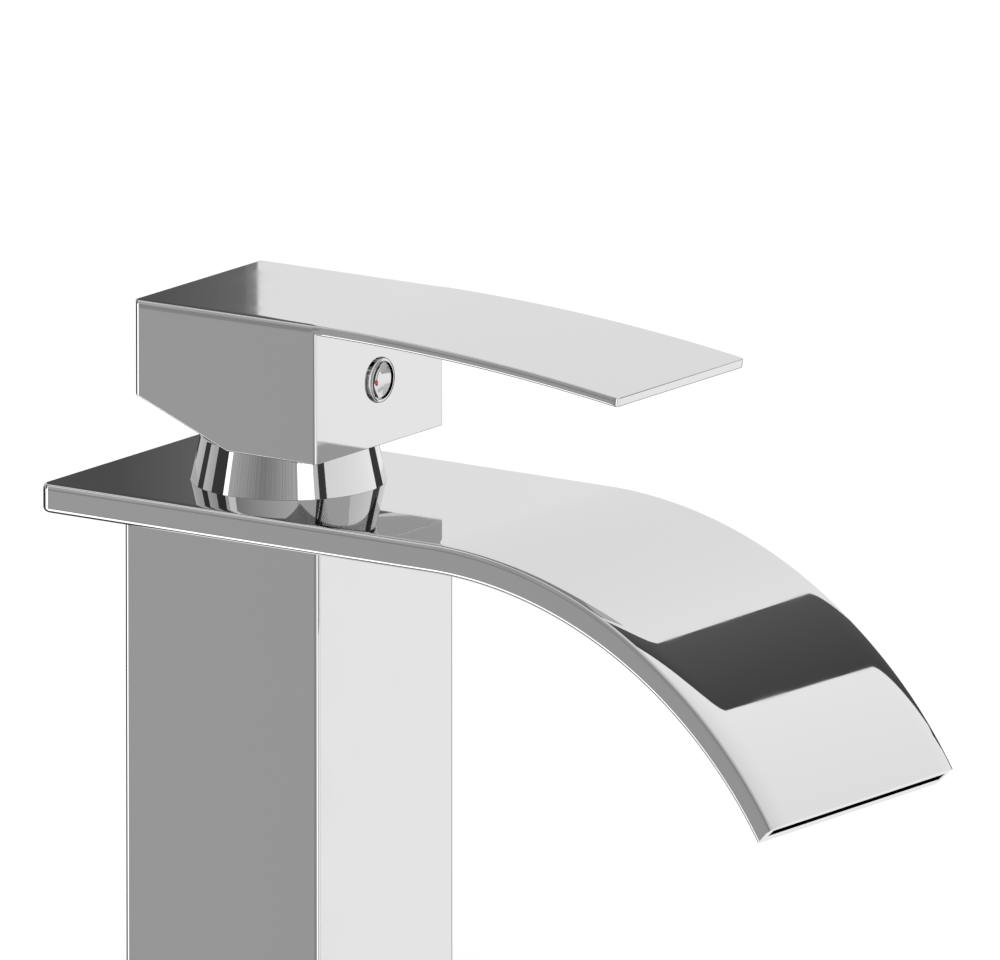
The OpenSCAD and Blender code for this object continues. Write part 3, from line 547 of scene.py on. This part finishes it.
def makeHandle(h):
    half, top = h["half"], h["high"]
    leverUnder = top - h["leverThickness"]
    piece = addBox("leverBlock", (-half, -half, h["low"]), (half, half, top))
    for place, normal in [((0, h["slopeStart"], 0), (0, 1, 0)), ((0, h["leverRoot"], 0), (0, 1, 0)),
                          ((0, 0, leverUnder), (0, 0, 1))]:
        pick(piece, "faces", lambda f: True)
        bpy.ops.mesh.bisect(plane_co=Vector(place) * mm, plane_no=normal)
    # the lever: the strip above the block's front face, spun along its long, shallow curve
    start = math.degrees(math.asin((half + h["leverRoot"]) / h["leverRadius"]))
    pick(piece, "faces", lambda f: f.normal.y < -0.99 and f.calc_center_median().z / mm > leverUnder)
    bpy.ops.mesh.spin(steps=h["leverSteps"], angle=math.radians(h["leverEnd"] - start),
                      center=Vector((0, h["leverRoot"], top - h["leverRadius"])) * mm, axis=(-1, 0, 0))
    turnOutwards(piece)
    for vertex in piece.data.vertices:
        x, y, z = vertex.co / mm
        if z > leverUnder + 0.5 and y > h["leverRoot"]:     # the top falls a little towards the rear
            z -= h["rise"] * (y - h["leverRoot"]) / (half - h["leverRoot"])
        if z < h["low"] + 0.1 and y > h["slopeStart"]:      # the underside slopes up behind the axis
            z += (y - h["slopeStart"]) * math.tan(math.radians(h["slope"]))
        vertex.co = Vector((x, y, z)) * mm

    def alongX(a, b):
        return abs(a.x - b.x) > 1

    def onSides(a, b):
        return min(abs(a.x), abs(b.x)) > half - slack and not alongX(a, b)

    def isUpright(a, b):
        return onSides(a, b) and abs(a.y - b.y) < slack and abs(abs(a.y) - half) < slack

    def atTip(a, b):
        return max(a.y, b.y) < h["tipFrom"]

    def isLower(a):
        # on the lever's underside, a curve with a smaller radius than the top's
        return math.hypot(h["leverRoot"] - a.y, a.z - top + h["leverRadius"]) < h["leverRadius"] - 1

    def onLever(a, b):
        return onSides(a, b) and min(a.y, b.y) < -half - slack

    def onTop(a, b):
        return min(a.y, b.y) > -half - slack and min(a.z, b.z) > top - 0.6

    def onSlope(a, b):
        isBehind = max(a.z, b.z) < h["slopeTop"] and min(a.y, b.y) > h["slopeStart"] - slack
        return isBehind and (not alongX(a, b) or a.y > half - 1)

    def atUnderside(a, b):
        return max(a.z, b.z) < h["low"] + 0.1 and (not alongX(a, b) or a.y < -half + 1)

    roundEdges(piece, [
        (h["rearRounding"], lambda a, b: isUpright(a, b) and a.y > 0),
        (h["frontRounding"], lambda a, b: isUpright(a, b) and a.y < 0 and a.x < 0),
        (h["farRounding"], lambda a, b: isUpright(a, b) and a.y < 0 and a.x > 0),
        (h["tipRounding"], lambda a, b: atTip(a, b) and onSides(a, b) and abs(a.y - b.y) < 0.6),
        (h["wornBlock"]["radius"], onTop),
        (h["lowerRounding"], lambda a, b: onLever(a, b) and isLower(a) and isLower(b)),
        (h["wornLever"]["radius"], onLever),
        (h["wornLever"]["radius"], lambda a, b: atTip(a, b) and alongX(a, b)),
        (h["slopeRounding"], onSlope),
        (h["underRounding"], atUnderside)], h["roundSteps"])

    def profileAt(spot):
        forward, up = h["leverRoot"] - spot.y, spot.z - top + h["leverRadius"]
        if forward > 0:
            drop = h["leverRadius"] - math.hypot(forward, up)
        else:
            drop = top - spot.z + h["rise"] * forward / (half - h["leverRoot"])
        worn = h["wornBlock"] if spot.y > -half else h["wornLever"]
        return worn, drop, max(0, math.atan2(forward, up))

    wearEdges(piece, half, half, h["rearRounding"], profileAt)
    cutAway(piece, addBox("cutter", *h["hollow"]), addBox("cutter", *h["socket"]),
            addRod("cutter", h["indexRadius"], (0, -half - past, h["indexZ"]), (0, h["indexBack"], h["indexZ"])),
            addRod("cutter", h["grubRadius"], (0, -half, h["indexZ"]), (0, 0, h["indexZ"]), h["grubSides"]))
    return piece


finishPiece(makeHandle(handle), "handle", chromedZinc)

plug = {
    "faceY": -23.55, "backY": -18.9, "z": 161.8, "radius": 4.7, "shankRadius": 2.5, "shankEnd": -14.7,
    "rim": 0.65, "rimRounding": 0.3, "grooveWidth": 0.35, "grooveDepth": 1.2, "dishEdge": 0.4, "dishDepth": 1.5,
    "dishSteps": 20, "steps": 96,
}


def makePlug(p):
    # a rim, a narrow groove inside it, and a hollow face whose edge lies a little behind the rim
    inner = p["radius"] - p["rim"]
    edge, depth = inner - p["grooveWidth"], p["dishDepth"] - p["dishEdge"]
    dishRadius = (edge ** 2 + depth ** 2) / (2 * depth)
    dish = []
    for i in range(p["dishSteps"] + 1):
        r = edge * i / p["dishSteps"]
        dish.append((r, p["faceY"] + p["dishDepth"] - dishRadius + math.sqrt(dishRadius ** 2 - r ** 2)))
    grooveFloor = p["faceY"] + p["grooveDepth"]
    corners = dish + [(edge, grooveFloor), (inner, grooveFloor), (inner, p["faceY"]), (p["radius"], p["faceY"]),
                      (p["radius"], p["backY"]), (p["shankRadius"], p["backY"]), (p["shankRadius"], p["shankEnd"]),
                      (0, p["shankEnd"])]
    rounded = {corners.index((p["radius"], p["faceY"])): p["rimRounding"]}
    piece = turnProfile("plug", corners, rounded, p["steps"], "Y")
    for vertex in piece.data.vertices:
        vertex.co.z += p["z"] * mm
    return piece


dot = {"radius": 0.55, "z": 161.0, "frontY": -22.4, "domeY": -21.9, "backY": -21.4, "domeSteps": 6, "steps": 40,
       "holeRadius": 0.6, "holeSides": 32}


def makeDot(d):
    turns = [math.pi / 2 * i / d["domeSteps"] for i in range(d["domeSteps"] + 1)]
    dome = [(d["radius"] * math.sin(t), d["domeY"] + (d["frontY"] - d["domeY"]) * math.cos(t)) for t in turns]
    piece = turnProfile("dot", dome + [(d["radius"], d["backY"]), (0, d["backY"])], {}, d["steps"], "Y")
    for vertex in piece.data.vertices:
        vertex.co.z += d["z"] * mm
    return piece


plugPiece = makePlug(plug)
cutAway(plugPiece, addRod("cutter", dot["holeRadius"], (0, plug["faceY"] - past, dot["z"]),
                          (0, dot["backY"], dot["z"]), dot["holeSides"]))
finishPiece(plugPiece, "index_plug", chromedZinc)
finishPiece(makeDot(dot), "index_mark", finishes["red_enamel"])

# The cards stand round the tap on a circle, and only its mirror surfaces see them. Each has the
# directions that it fills in degrees, seen from the tap at the circle's middle, and its brightness from end to end.
tent = {
    "radius": 1.2,            # m
    "middle": 0.14,           # m above the deck
    "folds": 240,             # folds in a whole turn of the streaked cards
    "foldLevels": (0.8, 1.2),
}
cards = [
    # name, azimuth from and to, elevation from and to, level from and to, the way the level runs
    # from behind round to the left
    ("rearStrip", (35.69, 35.82), (-8, 50), (0.27, 0.25), "turn"),
    ("rearFade", (35.82, 37.2), (-8, 50), (0.18, 0.1), "turn"),
    ("rearDark", (37.2, 46), (-8, 50), (0.1, 0.08), "turn"),
    ("rearGrey", (46, 84), (-8, 50), (0.7, 0.7), "turn"),
    ("leftBlack", (84, 97), (-8, 50), (0.06, 0.06), "turn"),
    ("leftPale", (97, 114), (-8, 50), (0.75, 0.6), "turn"),
    ("leftBlackTwo", (114, 133.3), (-8, 50), (0.06, 0.06), "turn"),
    ("leftStrip", (133.3, 140), (-8, 22), (2.2, 2.2), "turn"),
    # the same side, below
    ("rearLow", (35.69, 112), (-70, -8), (0.06, 0.06), "turn"),
    ("cornerLow", (112, 141), (-70, -8), (2.2, 2.2), "turn"),
    ("lineLow", (141, 143.5), (-70, -8), (0.25, 0.25), "turn"),
    # on the left and round to the front: a grey wall that the left faces show, and the ceiling over it
    ("leftWallLow", (143.5, 185), (-70, -10.3), (0.54, 0.33), "turn"),
    ("frontWallLow", (185, 226), (-70, -10.3), (0.33, 0.6), "turn"),
    ("wallDim", (143.5, 226), (-10.3, -8), (0.38, 0.32), "turn"),
    ("leftWallStreaked", (140, 185), (-8, 22), (0.6, 0.3), "turn"),
    ("frontWallStreaked", (185, 226), (-8, 22), (0.3, 0.6), "turn"),
    ("leftCeiling", (128, 144), (22, 60), (1.25, 1.25), "turn"),
    ("leftCeilingDim", (144, 226), (22, 60), (0.42, 0.9), "turn"),
    # in front: a bright window, and the dark frame beside it
    ("frontStrip", (226, 245.5), (-70, 26), (2.2, 2.2), "turn"),
    ("frontCeiling", (226, 251.5), (26, 60), (0.75, 0.75), "turn"),
    ("frontPale", (245.5, 251.5), (-70, 26), (0.8, 0.8), "turn"),
    ("frontBlack", (251.5, 260.5), (-70, 60), (0.06, 0.06), "turn"),
    # on the right: a pale wall that the front faces and the spout's tip show, and dark flags at its end
    ("rightLowA", (260.5, 318), (-70, -5), (1.33, 1.33), "turn"),
    ("rightLine", (318, 322.5), (-70, -5), (0.06, 0.06), "turn"),
    ("rightLowB", (322.5, 329.5), (-70, -5), (1.33, 1.33), "turn"),
    ("rightMid", (260.5, 338), (-5, 0), (1.33, 1.33), "turn"),
    ("rightFade", (260.5, 338), (0, 11.6), (1.33, 1.08), "rise"),
    ("rightDim", (260.5, 326), (11.6, 18), (0.72, 0.75), "rise"),
    ("rightPale", (326, 338), (11.6, 18), (1.25, 1.32), "turn"),
    ("rightHigh", (260.5, 340.4), (18, 60), (0.9, 1.33), "turn"),
    ("flagUnder", (329.5, 357), (-45, -5), (0.06, 0.06), "turn"),
    ("flagLow", (338, 357), (-5, 18), (0.06, 0.06), "turn"),
    ("flagHigh", (340.4, 358.05), (18, 60), (0.085, 0.14), "turn"),
    # behind on the right
    ("backPaleLow", (357, 380), (-45, 18), (1.255, 1.11), "turn"),
    ("backPaleMid", (380, 395.69), (-8, 18), (1.11, 1.03), "turn"),
    ("backDim", (380, 395.69), (-45, -8), (0.6, 0.6), "turn"),
    ("backPaleHigh", (358.05, 395.69), (18, 60), (1.25, 1.03), "turn"),
]


def addCard(name, turnSpan, riseSpan, levels, way):
    material = bpy.data.materials.new("card " + name)
    material.use_nodes = True
    tree = material.node_tree
    tree.nodes.clear()
    place = addNode(tree, "ShaderNodeTexCoord").outputs["Object"]
    height = [tent["middle"] + tent["radius"] * math.tan(math.radians(e)) for e in riseSpan]
    if way == "turn":
        # the gradient runs from 0 at the middle of the card's own turn, so that it never wraps round
        middle = math.radians(sum(turnSpan) / 2)
        turned = addNode(tree, "ShaderNodeMapping", values={"Rotation": (0, 0, -middle)}, links={"Vector": place})
        spot = addNode(tree, "ShaderNodeTexGradient", {"gradient_type": "RADIAL"}, links={"Vector": turned.outputs[0]})
        reach = (turnSpan[1] - turnSpan[0]) / 2 / 360
        ends, value = (0.5 - reach, 0.5 + reach), spot.outputs["Fac"]
    else:
        ends, value = height, addNode(tree, "ShaderNodeSeparateXYZ", links={"Vector": place}).outputs["Z"]
    level = addNode(tree, "ShaderNodeMapRange", values={"From Min": ends[0], "From Max": ends[1],
                    "To Min": levels[0], "To Max": levels[1]}, links={"Value": value})
    if "Streaked" in name:
        # the folds of hanging cloth, about a degree and a half wide
        folds = addNode(tree, "ShaderNodeTexNoise", {"noise_dimensions": "1D"},
                        {"Scale": tent["folds"], "Detail": 3.0}, {"W": value})
        depth = addNode(tree, "ShaderNodeMapRange", values={"From Min": 0.3, "From Max": 0.7,
                        "To Min": tent["foldLevels"][0], "To Max": tent["foldLevels"][1]},
                        links={"Value": folds.outputs[0]})
        level = addNode(tree, "ShaderNodeMath", {"operation": "MULTIPLY"},
                        links={0: level.outputs[0], 1: depth.outputs[0]})
    glow = addNode(tree, "ShaderNodeEmission", links={"Strength": level.outputs[0]})
    addNode(tree, "ShaderNodeOutputMaterial", links={"Surface": glow.outputs[0]})
    material.cycles.emission_sampling = "NONE"
    steps = max(2, round((turnSpan[1] - turnSpan[0]) / 2))
    corners = [(math.radians(turnSpan[0] + (turnSpan[1] - turnSpan[0]) * i / steps), z)
               for i in range(steps + 1) for z in height]
    mesh = bpy.data.meshes.new("card " + name)
    mesh.from_pydata([(tent["radius"] * math.cos(a), tent["radius"] * math.sin(a), z) for a, z in corners], [],
                     [(2 * i, 2 * i + 1, 2 * i + 3, 2 * i + 2) for i in range(steps)])
    mesh.materials.append(material)
    card = bpy.data.objects.new("card " + name, mesh)
    bpy.context.scene.collection.objects.link(card)
    card.visible_camera = card.visible_diffuse = card.visible_transmission = card.visible_shadow = False


for card in cards:
    addCard(*card)

floor = startPiece("floor", bpy.ops.mesh.primitive_plane_add, size=60)
floorMaterial, _, floorShader, _ = newMaterial("matt white floor")
floorShader.inputs["Base Color"].default_value = linearColour("#ffffff")
floorShader.inputs["Roughness"].default_value = 1.0
floorShader.inputs["Specular IOR Level"].default_value = 0.0
floor.data.materials.append(floorMaterial)
floor.visible_glossy = False

light = {
    "fill": 0.9,              # what the white world gives to surfaces; it looks as 1.0 to the camera and in mirrors
    "key": 0.62,              # W/m2 of the sun lamp
    "softness": 40,           # degrees across the sun, for soft shadows
    "from": (-0.5, -0.45, 1.0),
}
key = bpy.data.objects.new("key light", bpy.data.lights.new("key light", "SUN"))
key.data.energy = light["key"]
key.data.angle = math.radians(light["softness"])
key.rotation_euler = Vector(light["from"]).to_track_quat("Z", "Y").to_euler()
key.visible_glossy = False
bpy.context.scene.collection.objects.link(key)

world = bpy.data.worlds.new("white studio")
bpy.context.scene.world = world
world.use_nodes = True
sky = world.node_tree
ray = addNode(sky, "ShaderNodeLightPath").outputs
seen = ray["Is Camera Ray"]
for kind in ("Is Glossy Ray", "Is Transmission Ray"):
    seen = addNode(sky, "ShaderNodeMath", {"operation": "MAXIMUM"}, links={0: seen, 1: ray[kind]}).outputs[0]
strength = addNode(sky, "ShaderNodeMapRange", values={"To Min": light["fill"], "To Max": 1.0}, links={"Value": seen})
sky.nodes["Background"].inputs["Color"].default_value = (1, 1, 1, 1)
sky.links.new(strength.outputs[0], sky.nodes["Background"].inputs["Strength"])

bpy.context.scene.view_settings.view_transform = "Standard"
print("studio with", len(cards), "cards")
